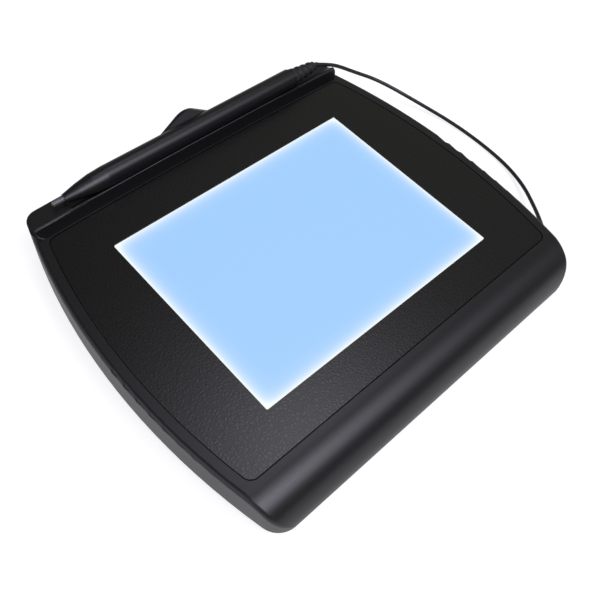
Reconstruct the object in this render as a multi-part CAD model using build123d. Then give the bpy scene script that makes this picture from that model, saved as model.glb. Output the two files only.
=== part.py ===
from build123d import *
import math
import os

# Signature pad with a lit screen, a pen in a raised tray and a tether.
# Millimetres. X to the right, Y to the back, Z up. The feet stand on Z = 0.
# The housing grows from its window and from the stack of pieces under it.

# Window, and the borders round it out to the housing's walls
window_width = 118.2
window_depth = 89.4
window_corner_radius = 0.6
side_border = 31.2
front_border = 32.8
rear_border = 31.7

# Plan of the housing
side_bow_radius = 279.7
widest_lead = 5.35
rear_bow = 1.2
front_corner_radius = 9.0
rear_corner_radius = 6.0

# Section of the housing
foot_height = 1.5
skirt_height = 3.0
wall = 2.2
side_edge_radius = 1.8
nose_radius = 16.0

# Pen tray and the finger tab behind it
tray_flat = 9.5
tray_bow = 1.6
tray_corner_radius = 5.5
tray_riser_run = 2.8
tray_height = 3.5
tray_root_depth = 3.0
tray_edge_radius = 1.0
tab_half_width = 16.0
tab_peak_height = 10.5
tab_crown_radius = 8.0
tab_flank_radius = 5.0
tab_shoulder = 3.0
tab_sink = 0.25
tab_from_pen = 3.1
tab_lean_share = 0.14
tab_overhang = 1.15
tab_gusset = 6.0
tab_edge_radius = 0.5

# Textured panel let into the top
panel_side_margin = 4.9
panel_nose_gap = 0.8
panel_tray_gap = 0.7
panel_thickness = 1.0
panel_corner_radius = 4.0
groove_width = 0.3
panel_edge = 0.15

# Clear lens and the display under it
lens_gap = 0.15
lens_recess = 0.2
gasket_thickness = 0.3
gasket_width = 2.6
bezel_side_border = 12.9
bezel_end_border = 7.3
bezel_sheet = 0.3
bezel_wall = 0.6
bezel_margin = 0.9
bezel_height = 8.0
ear_width = 7.0
ear_reach = 6.0
ear_from_end = 12.0
ear_drop = 3.7
glass_thickness = 2.2
glass_inset = 5.0
light_guide_thickness = 4.0
light_bar_depth = 2.4
module_gap = 0.1

# Digitiser and electronics under the screen
sensor_side_overhang = 1.0
sensor_end_overhang = 4.0
sensor_thickness = 1.2
shield_thickness = 0.3
shield_inset = 2.5
main_board_width = 110.0
main_board_depth = 80.0
main_board_thickness = 1.2
main_board_shift = 4.55
main_board_lift = 1.4
chip_height = 1.1
big_chip_size = 14.0
small_chip_length = 9.0
small_chip_width = 5.0
regulator_size = 6.0
chip_pitch = 24.0
connector_width = 22.0
connector_depth = 4.5
connector_height = 1.6
connector_headroom = 0.3
host_connector_width = 11.0
host_connector_gap = 3.0
flex_width = 18.0
flex_thickness = 0.25
flex_bend = 0.6
flex_reach = 1.6

# Bottom cover
cover_inset = 1.0
cover_floor = 2.0
cover_edge = 0.7
tongue_gap = 0.3
tongue_thickness = 1.5
tongue_height = 1.5
support_radius = 2.5
support_side_inset = 9.0
support_end_inset = 7.0
foot_radius = 6.5
foot_recess = 0.8
foot_edge = 0.5
foot_from_screw = 13.5

# Screws
case_post_radius = 3.5
case_boss_radius = 4.2
case_boss_height = 5.5
case_screw_radius = 1.5
case_screw_length = 8.0
case_head_radius = 2.75
case_head_height = 1.9
case_head_sink = 0.5
case_corner_inset = 13.0
case_middle_inset = 10.3
case_front_inset = 14.05
case_rear_inset = 11.35
board_screw_radius = 1.2
board_screw_length = 2.0
board_head_radius = 2.1
board_head_height = 1.0
board_boss_radius = 3.0
board_hole_inset = 4.0
ear_screw_radius = 1.0
ear_screw_length = 3.2
ear_head_radius = 1.9
ear_head_height = 1.1
ear_boss_radius = 2.6
screw_hole_gap = 0.1
thread_gap = 0.02
post_sides = 6

# Cable inlet in the rear wall
inlet_bore_radius = 2.5
inlet_neck_radius = 4.1
inlet_flange_radius = 5.5
inlet_flange = 1.2
inlet_edge = 0.4
inlet_pad_margin = 0.5

# Pen, lying along X in the tray
pen_from_rear = 5.35
pen_rise = 2.4
pen_end_gap = 9.5
pen_radius = 4.45
pen_wall = 0.9
boot_length = 13.5
collar_length = 1.8
barrel_length = 98.5
cone_length = 19.0
nib_reach = 5.2
nib_radius = 1.0
nib_tip_edge = 0.55
nib_gap = 0.05
nib_travel = 0.6
nib_flange_radius = 1.9
nib_flange = 1.0
nib_stem_radius = 0.6
cone_mouth_radius = 1.75
cone_steps = 3
cone_mouth_length = 3.6
cone_spigot_length = 6.0
cone_bore_radius = 2.2
spring_length = 7.0
spring_turns = 3
spring_radius = 1.55
spring_wire = 0.4
wire_sides = 4
coil_radius = 2.1
coil_length = 14.0
switch_length = 4.0
switch_width = 3.6
switch_height = 3.0
pen_board_length = 46.0
pen_board_gap = 0.05
pen_board_thickness = 0.8
collar_radius = 3.95
collar_edge = 0.2
boot_start_radius = 3.85
boot_end_radius = 2.4
boot_rib_count = 4
boot_rib_height = 0.55
boot_rib_share = 0.55
boot_plug_length = 6.0
plug_gap = 0.05

# Cradle in the tray
cradle_gap = 0.25
cradle_nose_gap = 0.3

# Tether and its gland in the right wall
tether_radius = 0.87
gland_from_front = 23.05
gland_rise = 0.4
gland_neck_radius = 2.3
gland_gap = 0.05
gland_flange_radius = 3.0
gland_flange = 1.0
gland_nose_radius = 1.9
gland_nose_length = 1.6
tether_exit_run = 1.9
tether_entry_run = 2.4
tether_points = [
    (76.2, 70.1, 24.5),
    (83.5, 68.5, 21.7),
    (93.0, 64.4, 15.9),
    (104.2, 56.9, 10.4),
    (115.6, 39.3, 3.2),
    (121.6, 14.5, 0.95),
    (120.9, -11.9, 0.95),
    (115.0, -29.7, 2.3),
    (104.9, -43.1, 5.0),
    (98.0, -50.2, 7.5),
    (93.4, -54.4, 9.1),
]
tether_arc_share = 0.45
tether_end_share = 0.9

# Cuts run past the surfaces that they open
overrun = 1.0

# How an edge is told apart by its direction
upright_share = 0.99
across_share = 0.2

# Plan, from the front wall to the tab that hangs over the rear wall
body_width = window_width + 2 * side_border
body_depth = front_border + window_depth + rear_border
front_y = -(body_depth + tab_overhang) / 2
rear_y = front_y + body_depth
tab_rear_y = rear_y + tab_overhang
widest_y = front_y + body_depth / 2 - widest_lead
screen_y = front_y + front_border + window_depth / 2
nose_y = front_y + nose_radius
crest_y = rear_y - tray_flat
riser_foot_y = crest_y - tray_riser_run
panel_front_y = nose_y + panel_nose_gap
panel_rear_y = riser_foot_y - panel_tray_gap

# Heights, from the feet up through the stack to the tray
skirt_bottom_z = foot_height + skirt_height
floor_top_z = foot_height + cover_floor
main_board_under_z = floor_top_z + main_board_lift
main_board_top_z = main_board_under_z + main_board_thickness
shield_under_z = main_board_top_z + connector_height + connector_headroom
sensor_under_z = shield_under_z + shield_thickness
bezel_under_z = sensor_under_z + sensor_thickness
bezel_top_z = bezel_under_z + bezel_height
glass_top_z = bezel_top_z - bezel_sheet
glass_under_z = glass_top_z - glass_thickness
guide_under_z = glass_under_z - light_guide_thickness
plate_under_z = bezel_top_z + gasket_thickness
panel_z = plate_under_z + wall
nose_z = panel_z - nose_radius
tray_top_z = panel_z + tray_height
tab_top_z = tray_top_z + tab_peak_height
ear_under_z = bezel_top_z - ear_drop - bezel_wall
tongue_top_z = skirt_bottom_z + tongue_height
case_boss_top_z = foot_height + case_boss_height
case_seat_z = foot_height + case_head_sink + case_head_height

# Display, digitiser and boards
bezel_width = window_width + 2 * bezel_side_border
bezel_depth = window_depth + 2 * bezel_end_border
sensor_width = bezel_width + 2 * sensor_side_overhang
sensor_depth = bezel_depth + 2 * sensor_end_overhang
main_board_y = screen_y + main_board_shift
host_connector_x = -(main_board_width - host_connector_width) / 2 + 2 * board_hole_inset + host_connector_gap
inlet_x = host_connector_x
inlet_z = (tongue_top_z + plate_under_z) / 2


def corners(half_x, half_y, centre_y=0.0):
    """Four places, one in each corner of a rectangle."""
    return [(sx * half_x, centre_y + sy * half_y) for sx in (-1, 1) for sy in (-1, 1)]


def side_x(y, inset=0.0):
    """Half width of the plan at a given Y, set in from the outside."""
    centre_x = body_width / 2 - side_bow_radius
    bow = side_bow_radius - inset
    return centre_x + math.sqrt(bow ** 2 - (y - widest_y) ** 2)


def rear_wall_y(x):
    """Y of the bowed rear wall's outer face at a given X."""
    end_x = side_x(rear_y - rear_bow)
    radius = (end_x ** 2 + rear_bow ** 2) / (2 * rear_bow)
    return rear_y - radius + math.sqrt(radius ** 2 - x ** 2)


# Flat pad for the cable inlet, as thick as the bowed wall needs
inlet_pad_radius = inlet_flange_radius + inlet_pad_margin
inlet_out_y = rear_wall_y(abs(inlet_x) - inlet_pad_radius)
inlet_in_y = rear_wall_y(abs(inlet_x) + inlet_pad_radius) - wall

# Places of the screws and feet
front_screw_y = front_y + case_front_inset
rear_screw_y = rear_y - case_rear_inset
front_screw_x = side_x(front_screw_y) - case_corner_inset
rear_screw_x = side_x(rear_screw_y) - case_corner_inset
middle_screw_x = body_width / 2 - case_middle_inset
case_screw_places = [
    (side * x, y)
    for x, y in ((front_screw_x, front_screw_y), (middle_screw_x, widest_y), (rear_screw_x, rear_screw_y))
    for side in (-1, 1)
]
foot_places = [
    (side * (x - foot_from_screw), y)
    for x, y in ((front_screw_x, front_screw_y), (rear_screw_x, rear_screw_y))
    for side in (-1, 1)
]
board_screw_places = corners(
    main_board_width / 2 - board_hole_inset,
    main_board_depth / 2 - board_hole_inset,
    main_board_y,
)
ear_screw_places = corners(bezel_width / 2 + ear_reach / 2, bezel_depth / 2 - ear_from_end, screen_y)
support_places = corners(
    sensor_width / 2 - support_side_inset,
    sensor_depth / 2 - support_end_inset,
    screen_y,
)


# Pen, from its rear end forwards
pen_y = rear_y - pen_from_rear
pen_z = tray_top_z + pen_rise
pen_rear_x = side_x(pen_y) - pen_end_gap
collar_end_x = pen_rear_x - boot_length
barrel_end_x = collar_end_x - collar_length
cone_end_x = barrel_end_x - barrel_length
cone_start_x = cone_end_x - cone_length
pen_tip_x = cone_start_x - nib_reach
nib_flange_x = cone_start_x + cone_mouth_length
coil_x = nib_flange_x + nib_flange + spring_length
switch_x = coil_x + coil_length
pen_board_x = switch_x + switch_length
pen_bore_radius = pen_radius - pen_wall
plug_radius = pen_bore_radius - plug_gap


def plan_face(inset, front, rear, front_corner, rear_corner):
    """The bowed outline: arcs for the sides and the rear, straight at the front."""
    wide_x = body_width / 2 - inset
    rear_end = rear - rear_bow
    right = ThreePointArc(
        (side_x(front, inset), front), (wide_x, widest_y), (side_x(rear_end, inset), rear_end)
    )
    left = ThreePointArc(
        (-side_x(rear_end, inset), rear_end), (-wide_x, widest_y), (-side_x(front, inset), front)
    )
    back = ThreePointArc(right @ 1, (0, rear), left @ 0)
    nose = Line(left @ 1, right @ 0)
    face = make_face([right, back, left, nose])
    ends = face.vertices().group_by(Axis.Y)
    face = fillet(ends[0], front_corner)
    return fillet(face.vertices().group_by(Axis.Y)[-1], rear_corner)


def plan_prism(inset, low_z, high_z):
    """The housing's plan, set in all round, between two heights."""
    face = plan_face(
        inset,
        front_y + inset,
        rear_y - inset,
        front_corner_radius - inset,
        rear_corner_radius - inset,
    )
    return Pos(0, 0, low_z) * extrude(face, high_z - low_z)


def along_x(face, half_length):
    """A profile drawn in Y and Z, run both ways along X."""
    return extrude(Plane.YZ * face, half_length, both=True)


def stands_up(edge):
    """True for an upright edge."""
    return abs(edge.tangent_at(0.5).Z) > upright_share


def disc(x, y, low_z, high_z, radius):
    """An upright cylinder between two heights."""
    return Pos(x, y, low_z) * extrude(Circle(radius), high_z - low_z)


def post(x, y, low_z, high_z, radius):
    """An upright six-sided post or hole, for what the housing hides."""
    return Pos(x, y, low_z) * extrude(RegularPolygon(radius, post_sides), high_z - low_z)


def slab(width, depth, low_z, high_z, x=0.0, y=0.0):
    """A plain block between two heights."""
    return Pos(x, y, low_z) * extrude(Rectangle(width, depth), high_z - low_z)


def nose_profile(inset):
    """Side view of the housing with its rounded front, set in from the outside."""
    radius = nose_radius - inset
    reach = nose_y - radius
    top = nose_z + radius
    low = min(0, nose_z) - overrun
    far = rear_y + overrun
    bend = CenterArc((nose_y, nose_z), radius, 90, 90)
    rest = Polyline((reach, nose_z), (reach, low), (far, low), (far, top), (nose_y, top))
    return make_face([bend, *rest.edges()])


def main_body():
    """Outer form below the tray: bowed sides, big rounded nose, softened top edge."""
    block = plan_prism(0, skirt_bottom_z, panel_z)
    body = block & along_x(nose_profile(0), body_width)
    rim = [
        edge
        for edge in body.edges()
        if edge.center().Z > skirt_bottom_z + side_edge_radius
        and abs(edge.center().X) > body_width / 4
        and edge.center().Y < rear_y - rear_corner_radius
        and not stands_up(edge)
    ]
    return fillet(rim, side_edge_radius)


def tray_ramp():
    """The tray's height, with a bowed riser in front; its other sides lie outside the plan."""
    far_x = body_width / 2 + overrun + tray_riser_run
    far_y = rear_y + overrun + tray_riser_run
    riser = ThreePointArc(
        (-far_x, riser_foot_y - tray_bow), (0, riser_foot_y), (far_x, riser_foot_y - tray_bow)
    )
    rest = Polyline(riser @ 1, (far_x, far_y), (-far_x, far_y), riser @ 0)
    lean = math.degrees(math.atan(tray_riser_run / tray_height))
    return Pos(0, 0, panel_z) * extrude(make_face([riser, *rest.edges()]), tray_height, taper=lean)


def tray_plan():
    """The rear of the housing's plan, its front corners rounded."""
    low_y = riser_foot_y - tray_bow
    rear_part = Pos(0, low_y + body_depth / 2) * Rectangle(2 * body_width, body_depth)
    whole = plan_face(0, front_y, rear_y, front_corner_radius, rear_corner_radius)
    face = whole & rear_part
    return fillet(face.vertices().group_by(Axis.Y)[0], tray_corner_radius)


def tray_body():
    """The raised tray along the rear, with its crest, ends and rim softened."""
    plan = tray_plan()
    tray = tray_ramp() & (Pos(0, 0, panel_z) * extrude(plan, tray_height))
    upper = tray.edges().group_by(Axis.Z)[-1]
    tray = fillet(upper, tray_edge_radius)
    return tray + Pos(0, 0, panel_z - tray_root_depth) * extrude(plan, tray_root_depth)


def finger_tab():
    """Half-moon tab that stands up behind the middle of the pen."""
    low_z = tray_top_z - tab_gusset
    shoulder_z = tray_top_z - tab_sink
    shoulder_x = tab_half_width + tab_shoulder
    outline = make_face(
        Polyline(
            (-shoulder_x, low_z),
            (-shoulder_x, shoulder_z),
            (-tab_half_width, shoulder_z),
            (0, tab_top_z),
            (tab_half_width, shoulder_z),
            (shoulder_x, shoulder_z),
            (shoulder_x, low_z),
            close=True,
        )
    )
    outline = fillet(outline.vertices().sort_by(Axis.Y)[-1], tab_crown_radius)
    flanks = outline.vertices().filter_by(lambda v: abs(abs(v.X) - tab_half_width) < tab_edge_radius)
    outline = fillet(flanks, tab_flank_radius)
    front_view = extrude(Plane.XZ * outline, body_width, both=True)
    root_y = pen_y + tab_from_pen
    side_view = make_face(
        Polyline(
            (root_y - tab_lean_share * tab_gusset, low_z),
            (root_y + tab_lean_share * tab_peak_height, tab_top_z),
            (tab_rear_y, tab_top_z),
            (tab_rear_y, tray_top_z - tray_edge_radius),
            (rear_y - wall / 2, low_z),
            close=True,
        )
    )
    tab = front_view & along_x(side_view, shoulder_x)
    upper = [
        edge
        for edge in tab.edges()
        if edge.center().Z > shoulder_z - tab_edge_radius and abs(edge.tangent_at(0.5).X) > across_share
    ]
    return fillet(upper, tab_edge_radius)


def pen_line(start_x, end_x, radius):
    """A cylinder on the pen's own axis."""
    base = Plane(origin=(start_x, pen_y, pen_z), z_dir=(1, 0, 0))
    return extrude(base * Circle(radius), end_x - start_x)


def cradle_cut():
    """The trough the pen lies in, open at the right, and the pen's way out."""
    radius = pen_radius + cradle_gap
    trough = pen_line(cone_start_x + cradle_nose_gap, body_width / 2, radius)
    return trough + slab(2 * (tab_half_width + tab_shoulder), 2 * radius, pen_z, tab_top_z, y=pen_y)


def gland_plane(out=0.0):
    """Plane at the right wall, square to it, where the tether's gland sits."""
    gland_y = front_y + gland_from_front
    gland_z = tongue_top_z + gland_flange_radius + gland_rise
    x = side_x(gland_y)
    centre_x = body_width / 2 - side_bow_radius
    normal = Vector(x - centre_x, gland_y - widest_y, 0).normalized()
    origin = Vector(x, gland_y, gland_z) + normal * out
    return Plane(origin=origin, z_dir=normal)


def gland_cylinder(start, end, radius):
    """A cylinder on the gland's axis; distances run outwards from the wall's face."""
    return extrude(gland_plane(start) * Circle(radius), end - start)


def rear_plane(y):
    """Plane that faces rearwards at the cable inlet."""
    return Plane(origin=(inlet_x, y, inlet_z), z_dir=(0, 1, 0))


def inlet_cylinder(start_y, end_y, radius):
    """A cylinder on the cable inlet's axis."""
    return extrude(rear_plane(start_y) * Circle(radius), end_y - start_y)


def window_cut(low_z, high_z):
    """The window through whatever lies between two heights."""
    outline = RectangleRounded(window_width, window_depth, window_corner_radius)
    return Pos(0, screen_y, low_z) * extrude(outline, high_z - low_z)


def top_housing():
    """Upper shell: rounded nose, bowed sides, pen tray, finger tab and screw posts."""
    shell = main_body() + tray_body() + finger_tab()
    cavity = plan_prism(wall, foot_height, plate_under_z) & along_x(nose_profile(wall), body_width)
    shell = shell - cavity
    recess = plan_face(
        panel_side_margin, panel_front_y, panel_rear_y, panel_corner_radius, panel_corner_radius
    )
    shell = shell - Pos(0, 0, panel_z - panel_thickness) * extrude(recess, panel_thickness + overrun)
    shell = shell - window_cut(plate_under_z - overrun, panel_z + overrun)
    shell = shell - cradle_cut()
    root_z = plate_under_z + wall / 4
    for x, y in case_screw_places:
        shell = shell + post(x, y, case_boss_top_z, root_z, case_post_radius)
    for x, y in ear_screw_places:
        shell = shell + post(x, y, ear_under_z + bezel_wall, root_z, ear_boss_radius)
    for x, y in case_screw_places:
        top = case_seat_z + case_screw_length
        shell = shell - post(x, y, case_boss_top_z - overrun, top, case_screw_radius + thread_gap)
    for x, y in ear_screw_places:
        top = ear_under_z + ear_screw_length
        shell = shell - post(x, y, ear_under_z, top, ear_screw_radius + thread_gap)
    shell = shell + inlet_cylinder(inlet_in_y, inlet_out_y, inlet_pad_radius)
    inlet = inlet_cylinder(inlet_in_y - overrun, inlet_out_y + overrun, inlet_neck_radius)
    gland = gland_cylinder(-wall - overrun, overrun, gland_neck_radius + gland_gap)
    return shell - inlet - gland


def panel():
    """Textured panel that lies flush in the top, with a fine groove round it."""
    face = plan_face(
        panel_side_margin + groove_width,
        panel_front_y + groove_width,
        panel_rear_y - groove_width,
        panel_corner_radius - groove_width,
        panel_corner_radius - groove_width,
    )
    plate = Pos(0, 0, panel_z - panel_thickness) * extrude(face, panel_thickness)
    plate = plate - window_cut(panel_z - panel_thickness - overrun, panel_z + overrun)
    return chamfer(plate.edges().group_by(Axis.Z)[-1], panel_edge)


def screen_lens():
    """Clear writing surface that fills the window, a hair below the panel."""
    outline = RectangleRounded(
        window_width - 2 * lens_gap, window_depth - 2 * lens_gap, window_corner_radius - lens_gap
    )
    return Pos(0, screen_y, glass_top_z) * extrude(outline, panel_z - lens_recess - glass_top_z)


def screen_gasket():
    """Foam ring between the display's metal frame and the top plate."""
    hole_x = window_width + 2 * bezel_margin
    hole_y = window_depth + 2 * bezel_margin
    ring = slab(
        hole_x + 2 * gasket_width, hole_y + 2 * gasket_width, bezel_top_z, plate_under_z, y=screen_y
    )
    return ring - slab(hole_x, hole_y, bezel_top_z - overrun, plate_under_z + overrun, y=screen_y)


def lcd_frame():
    """Pressed metal frame round the display, with four screw ears."""
    box = slab(bezel_width, bezel_depth, bezel_under_z, bezel_top_z, y=screen_y)
    inner = slab(
        bezel_width - 2 * bezel_wall,
        bezel_depth - 2 * bezel_wall,
        bezel_under_z - overrun,
        glass_top_z,
        y=screen_y,
    )
    hole = slab(
        window_width + 2 * bezel_margin,
        window_depth + 2 * bezel_margin,
        glass_top_z - overrun,
        bezel_top_z + overrun,
        y=screen_y,
    )
    frame = box - inner - hole
    top = ear_under_z + bezel_wall
    for x, y in ear_screw_places:
        frame = frame + slab(ear_reach, ear_width, ear_under_z, top, x, y)
        frame = frame - post(x, y, ear_under_z - overrun, top + overrun, ear_screw_radius + screw_hole_gap)
    return frame


def inside_frame(low_z, high_z, inset=0.0):
    """A layer of the display stack, clear of the metal frame's walls."""
    gap = 2 * (bezel_wall + module_gap + inset)
    return slab(bezel_width - gap, bezel_depth - gap, low_z, high_z, y=screen_y)


def lcd_glass():
    """Display cell: two panes with the lit picture area facing up."""
    return inside_frame(glass_under_z, glass_top_z, glass_inset)


def light_guide():
    """Clear light guide under the display cell, between the lamp bars."""
    width = bezel_width - 2 * (bezel_wall + module_gap + glass_inset)
    depth = bezel_depth - 2 * (bezel_wall + module_gap + glass_inset + light_bar_depth)
    return slab(width, depth, guide_under_z, glass_under_z, y=screen_y)


def light_bars():
    """Two strips of lamps that feed the light guide from its long edges."""
    width = bezel_width - 2 * (bezel_wall + module_gap + glass_inset)
    reach = bezel_depth / 2 - bezel_wall - module_gap - glass_inset - light_bar_depth / 2
    bars = Part()
    for side in (-1, 1):
        y = screen_y + side * reach
        bars = bars + slab(width, light_bar_depth - module_gap, guide_under_z, glass_under_z, y=y)
    return bars


def backlight_tray():
    """White moulded tray that holds the glass, the light guide and the lamps."""
    tray = inside_frame(bezel_under_z, glass_top_z)
    return tray - inside_frame(guide_under_z, glass_top_z + overrun, glass_inset - module_gap)


def sensor_board():
    """Digitiser board that lies against the back of the display."""
    return slab(sensor_width, sensor_depth, sensor_under_z, bezel_under_z, y=screen_y)


def sensor_shield():
    """Thin sheet behind the digitiser board."""
    return slab(
        sensor_width - 2 * shield_inset,
        sensor_depth - 2 * shield_inset,
        shield_under_z,
        sensor_under_z,
        y=screen_y,
    )


def main_board():
    """Controller board on four bosses of the bottom cover."""
    board = slab(
        main_board_width, main_board_depth, main_board_under_z, main_board_top_z, y=main_board_y
    )
    for x, y in board_screw_places:
        board = board - post(
            x,
            y,
            main_board_under_z - overrun,
            main_board_top_z + overrun,
            board_screw_radius + screw_hole_gap,
        )
    return board


def board_chips():
    """Controller, memory and supply chips, each a separate block."""
    top = main_board_top_z + chip_height
    chips = slab(big_chip_size, big_chip_size, main_board_top_z, top, 0, main_board_y)
    for step in (-1, 1):
        x = step * chip_pitch
        chips = chips + slab(small_chip_length, small_chip_width, main_board_top_z, top, x, main_board_y)
        y = main_board_y + chip_pitch
        chips = chips + slab(regulator_size, regulator_size, main_board_top_z, top, x, y)
    return chips


def lcd_connector_x():
    """Centre of the display's connector, on the right edge of the main board."""
    return main_board_width / 2 - connector_depth / 2


def sensor_connector_y():
    """Centre of the digitiser's connector, on the front edge of the main board."""
    return main_board_y - main_board_depth / 2 + connector_depth / 2


def board_connectors():
    """Sockets for the two flat cables and the host cable."""
    top = main_board_top_z + connector_height
    sockets = slab(connector_depth, connector_width, main_board_top_z, top, lcd_connector_x(), main_board_y)
    sockets = sockets + slab(
        connector_width, connector_depth, main_board_top_z, top, 0, sensor_connector_y()
    )
    host_y = main_board_y + main_board_depth / 2 - connector_depth / 2
    return sockets + slab(
        host_connector_width, connector_depth, main_board_top_z, top, host_connector_x, host_y
    )


def ribbon(points, width_dir):
    """Flat cable: a thin strip along bends in one plane."""
    path = FilletPolyline(*points, radius=flex_bend)
    start = Plane(origin=path @ 0, x_dir=width_dir, z_dir=path % 0)
    return sweep(start * Rectangle(flex_width, flex_thickness), path=path)


def lcd_flex():
    """Flat cable from the display's side, round the digitiser, to the main board."""
    entry_z = main_board_top_z + connector_height / 2
    start_x = bezel_width / 2
    out_x = sensor_width / 2 + flex_reach
    exit_z = bezel_under_z + sensor_thickness
    plug_x = main_board_width / 2
    points = [
        (start_x, main_board_y, exit_z),
        (out_x, main_board_y, exit_z),
        (out_x, main_board_y, entry_z),
        (plug_x, main_board_y, entry_z),
    ]
    return ribbon(points, (0, 1, 0))


def sensor_flex():
    """Flat cable from the digitiser's front edge back to the main board."""
    entry_z = main_board_top_z + connector_height / 2
    start_y = screen_y - sensor_depth / 2
    out_y = start_y - flex_reach - flex_bend
    exit_z = sensor_under_z + sensor_thickness / 2
    plug_y = main_board_y - main_board_depth / 2
    points = [
        (0, start_y, exit_z),
        (0, out_y, exit_z),
        (0, out_y, entry_z),
        (0, plug_y, entry_z),
    ]
    return ribbon(points, (1, 0, 0))


def bottom_cover():
    """Floor with a tongue inside the skirt, screw bosses and posts for the display."""
    cover = plan_prism(cover_inset, foot_height, skirt_bottom_z)
    cover = chamfer(cover.edges().group_by(Axis.Z)[0], cover_edge)
    outer = wall + tongue_gap
    cover = cover + plan_prism(outer, floor_top_z, tongue_top_z)
    cover = cover - plan_prism(outer + tongue_thickness, floor_top_z, tongue_top_z + overrun)
    for x, y in case_screw_places:
        cover = cover + post(x, y, foot_height, case_boss_top_z, case_boss_radius)
    for x, y in board_screw_places:
        cover = cover + post(x, y, foot_height, main_board_under_z, board_boss_radius)
    for x, y in support_places:
        cover = cover + post(x, y, foot_height, shield_under_z, support_radius)
    for x, y in case_screw_places:
        cover = cover - disc(x, y, foot_height - overrun, case_seat_z, case_head_radius + screw_hole_gap)
        cover = cover - post(
            x, y, foot_height, case_boss_top_z + overrun, case_screw_radius + screw_hole_gap
        )
    for x, y in board_screw_places:
        low = main_board_under_z - board_screw_length
        cover = cover - post(x, y, low, main_board_under_z + overrun, board_screw_radius + thread_gap)
    for x, y in foot_places:
        cover = cover - disc(x, y, foot_height - overrun, foot_height + foot_recess, foot_radius)
    return cover


def screw(x, y, seat_z, shank_radius, length, head_face, head_height):
    """Screw with its head under the seat; a length below zero turns it over."""
    way = math.copysign(1, length)
    shank = extrude(RegularPolygon(shank_radius, post_sides), length)
    head = extrude(head_face, -way * head_height)
    return Pos(x, y, seat_z) * (shank + head)


def case_screws():
    """Six round-head screws that hold the bottom cover to the top housing."""
    length = case_screw_length - screw_hole_gap
    head = Circle(case_head_radius)
    group = [
        screw(x, y, case_seat_z, case_screw_radius, length, head, case_head_height)
        for x, y in case_screw_places
    ]
    return Compound(group)


def board_screws():
    """Four screws that hold the main board to the bottom cover."""
    length = main_board_thickness + board_screw_length - screw_hole_gap
    head = RegularPolygon(board_head_radius, post_sides)
    group = [
        screw(x, y, main_board_top_z, board_screw_radius, -length, head, board_head_height)
        for x, y in board_screw_places
    ]
    return Compound(group)


def lcd_screws():
    """Four screws through the display frame's ears."""
    length = ear_screw_length - screw_hole_gap
    head = RegularPolygon(ear_head_radius, post_sides)
    group = [
        screw(x, y, ear_under_z, ear_screw_radius, length, head, ear_head_height)
        for x, y in ear_screw_places
    ]
    return Compound(group)


def rubber_feet():
    """Four round feet stuck in recesses of the bottom cover."""
    feet = []
    for x, y in foot_places:
        foot = disc(x, y, 0, foot_height + foot_recess, foot_radius)
        feet.append(chamfer(foot.edges().group_by(Axis.Z)[0], foot_edge))
    return Compound(feet)


def cable_grommet():
    """Rubber grommet in the rear wall, its bore empty."""
    ring = inlet_cylinder(inlet_in_y, inlet_out_y, inlet_neck_radius)
    outer = inlet_cylinder(inlet_out_y, inlet_out_y + inlet_flange, inlet_flange_radius)
    outer = chamfer(outer.edges().group_by(Axis.Y)[-1], inlet_edge)
    ring = ring + outer
    ring = ring + inlet_cylinder(inlet_in_y - inlet_flange, inlet_in_y, inlet_flange_radius)
    low = inlet_in_y - 2 * inlet_flange
    return ring - inlet_cylinder(low, inlet_out_y + 2 * inlet_flange, inlet_bore_radius)


def tether_gland():
    """Small moulded gland that holds the tether in the right wall."""
    gland = gland_cylinder(-wall - gland_gap, gland_gap, gland_neck_radius)
    gland = gland + gland_cylinder(-wall - gland_gap - gland_flange, -wall - gland_gap, gland_flange_radius)
    nose = loft(
        [
            gland_plane(gland_gap) * Circle(gland_flange_radius),
            gland_plane(gland_gap + gland_nose_length) * Circle(gland_nose_radius),
        ]
    )
    return gland + nose


def tether_path():
    """Route of the tether: straight runs joined by arcs as large as the runs allow."""
    reach = gland_gap + gland_nose_length
    points = [Vector(pen_rear_x, pen_y, pen_z), Vector(pen_rear_x + tether_exit_run, pen_y, pen_z)]
    points += [Vector(*p) for p in tether_points]
    points += [gland_plane(reach + tether_entry_run).origin, gland_plane(reach).origin]
    runs = [after - before for before, after in zip(points, points[1:])]
    rooms = [run.length * tether_arc_share for run in runs]
    rooms[0] = runs[0].length * tether_end_share
    rooms[-1] = runs[-1].length * tether_end_share
    radii = []
    for corner in range(len(runs) - 1):
        turn = math.radians(runs[corner].get_angle(runs[corner + 1]))
        radii.append(min(rooms[corner], rooms[corner + 1]) / math.tan(turn / 2))
    return FilletPolyline(*points, radius=radii)


def tether_cord():
    """Thin round tether from the pen's boot to the gland."""
    path = tether_path()
    start = Plane(origin=path @ 0, z_dir=path % 0)
    return sweep(start * Circle(tether_radius), path=path)


def turned(points):
    """A solid turned about the pen's axis from (X, radius) points."""
    face = make_face(Polyline(*points, close=True))
    return Pos(0, pen_y, pen_z) * revolve(Plane.XY * face, Axis.X)


def pen_barrel():
    """Long round barrel, open at both ends."""
    return pen_line(cone_end_x, barrel_end_x, pen_radius) - pen_line(
        cone_end_x - overrun, barrel_end_x + overrun, pen_bore_radius
    )


def pen_cone():
    """Swelling front section with a spigot that fits inside the barrel."""
    spigot_end = cone_end_x + cone_spigot_length
    points = [(cone_start_x, 0)]
    for step in range(cone_steps + 1):
        share = step / cone_steps
        radius = cone_mouth_radius + (pen_radius - cone_mouth_radius) * math.sin(share * math.pi / 2)
        points.append((cone_start_x + share * cone_length, radius))
    points += [(cone_end_x, plug_radius), (spigot_end, plug_radius), (spigot_end, 0)]
    cone = turned(points)
    cone = cone - pen_line(cone_start_x - overrun, nib_flange_x + overrun, nib_radius + nib_gap)
    return cone - pen_line(nib_flange_x, spigot_end + overrun, cone_bore_radius)


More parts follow.
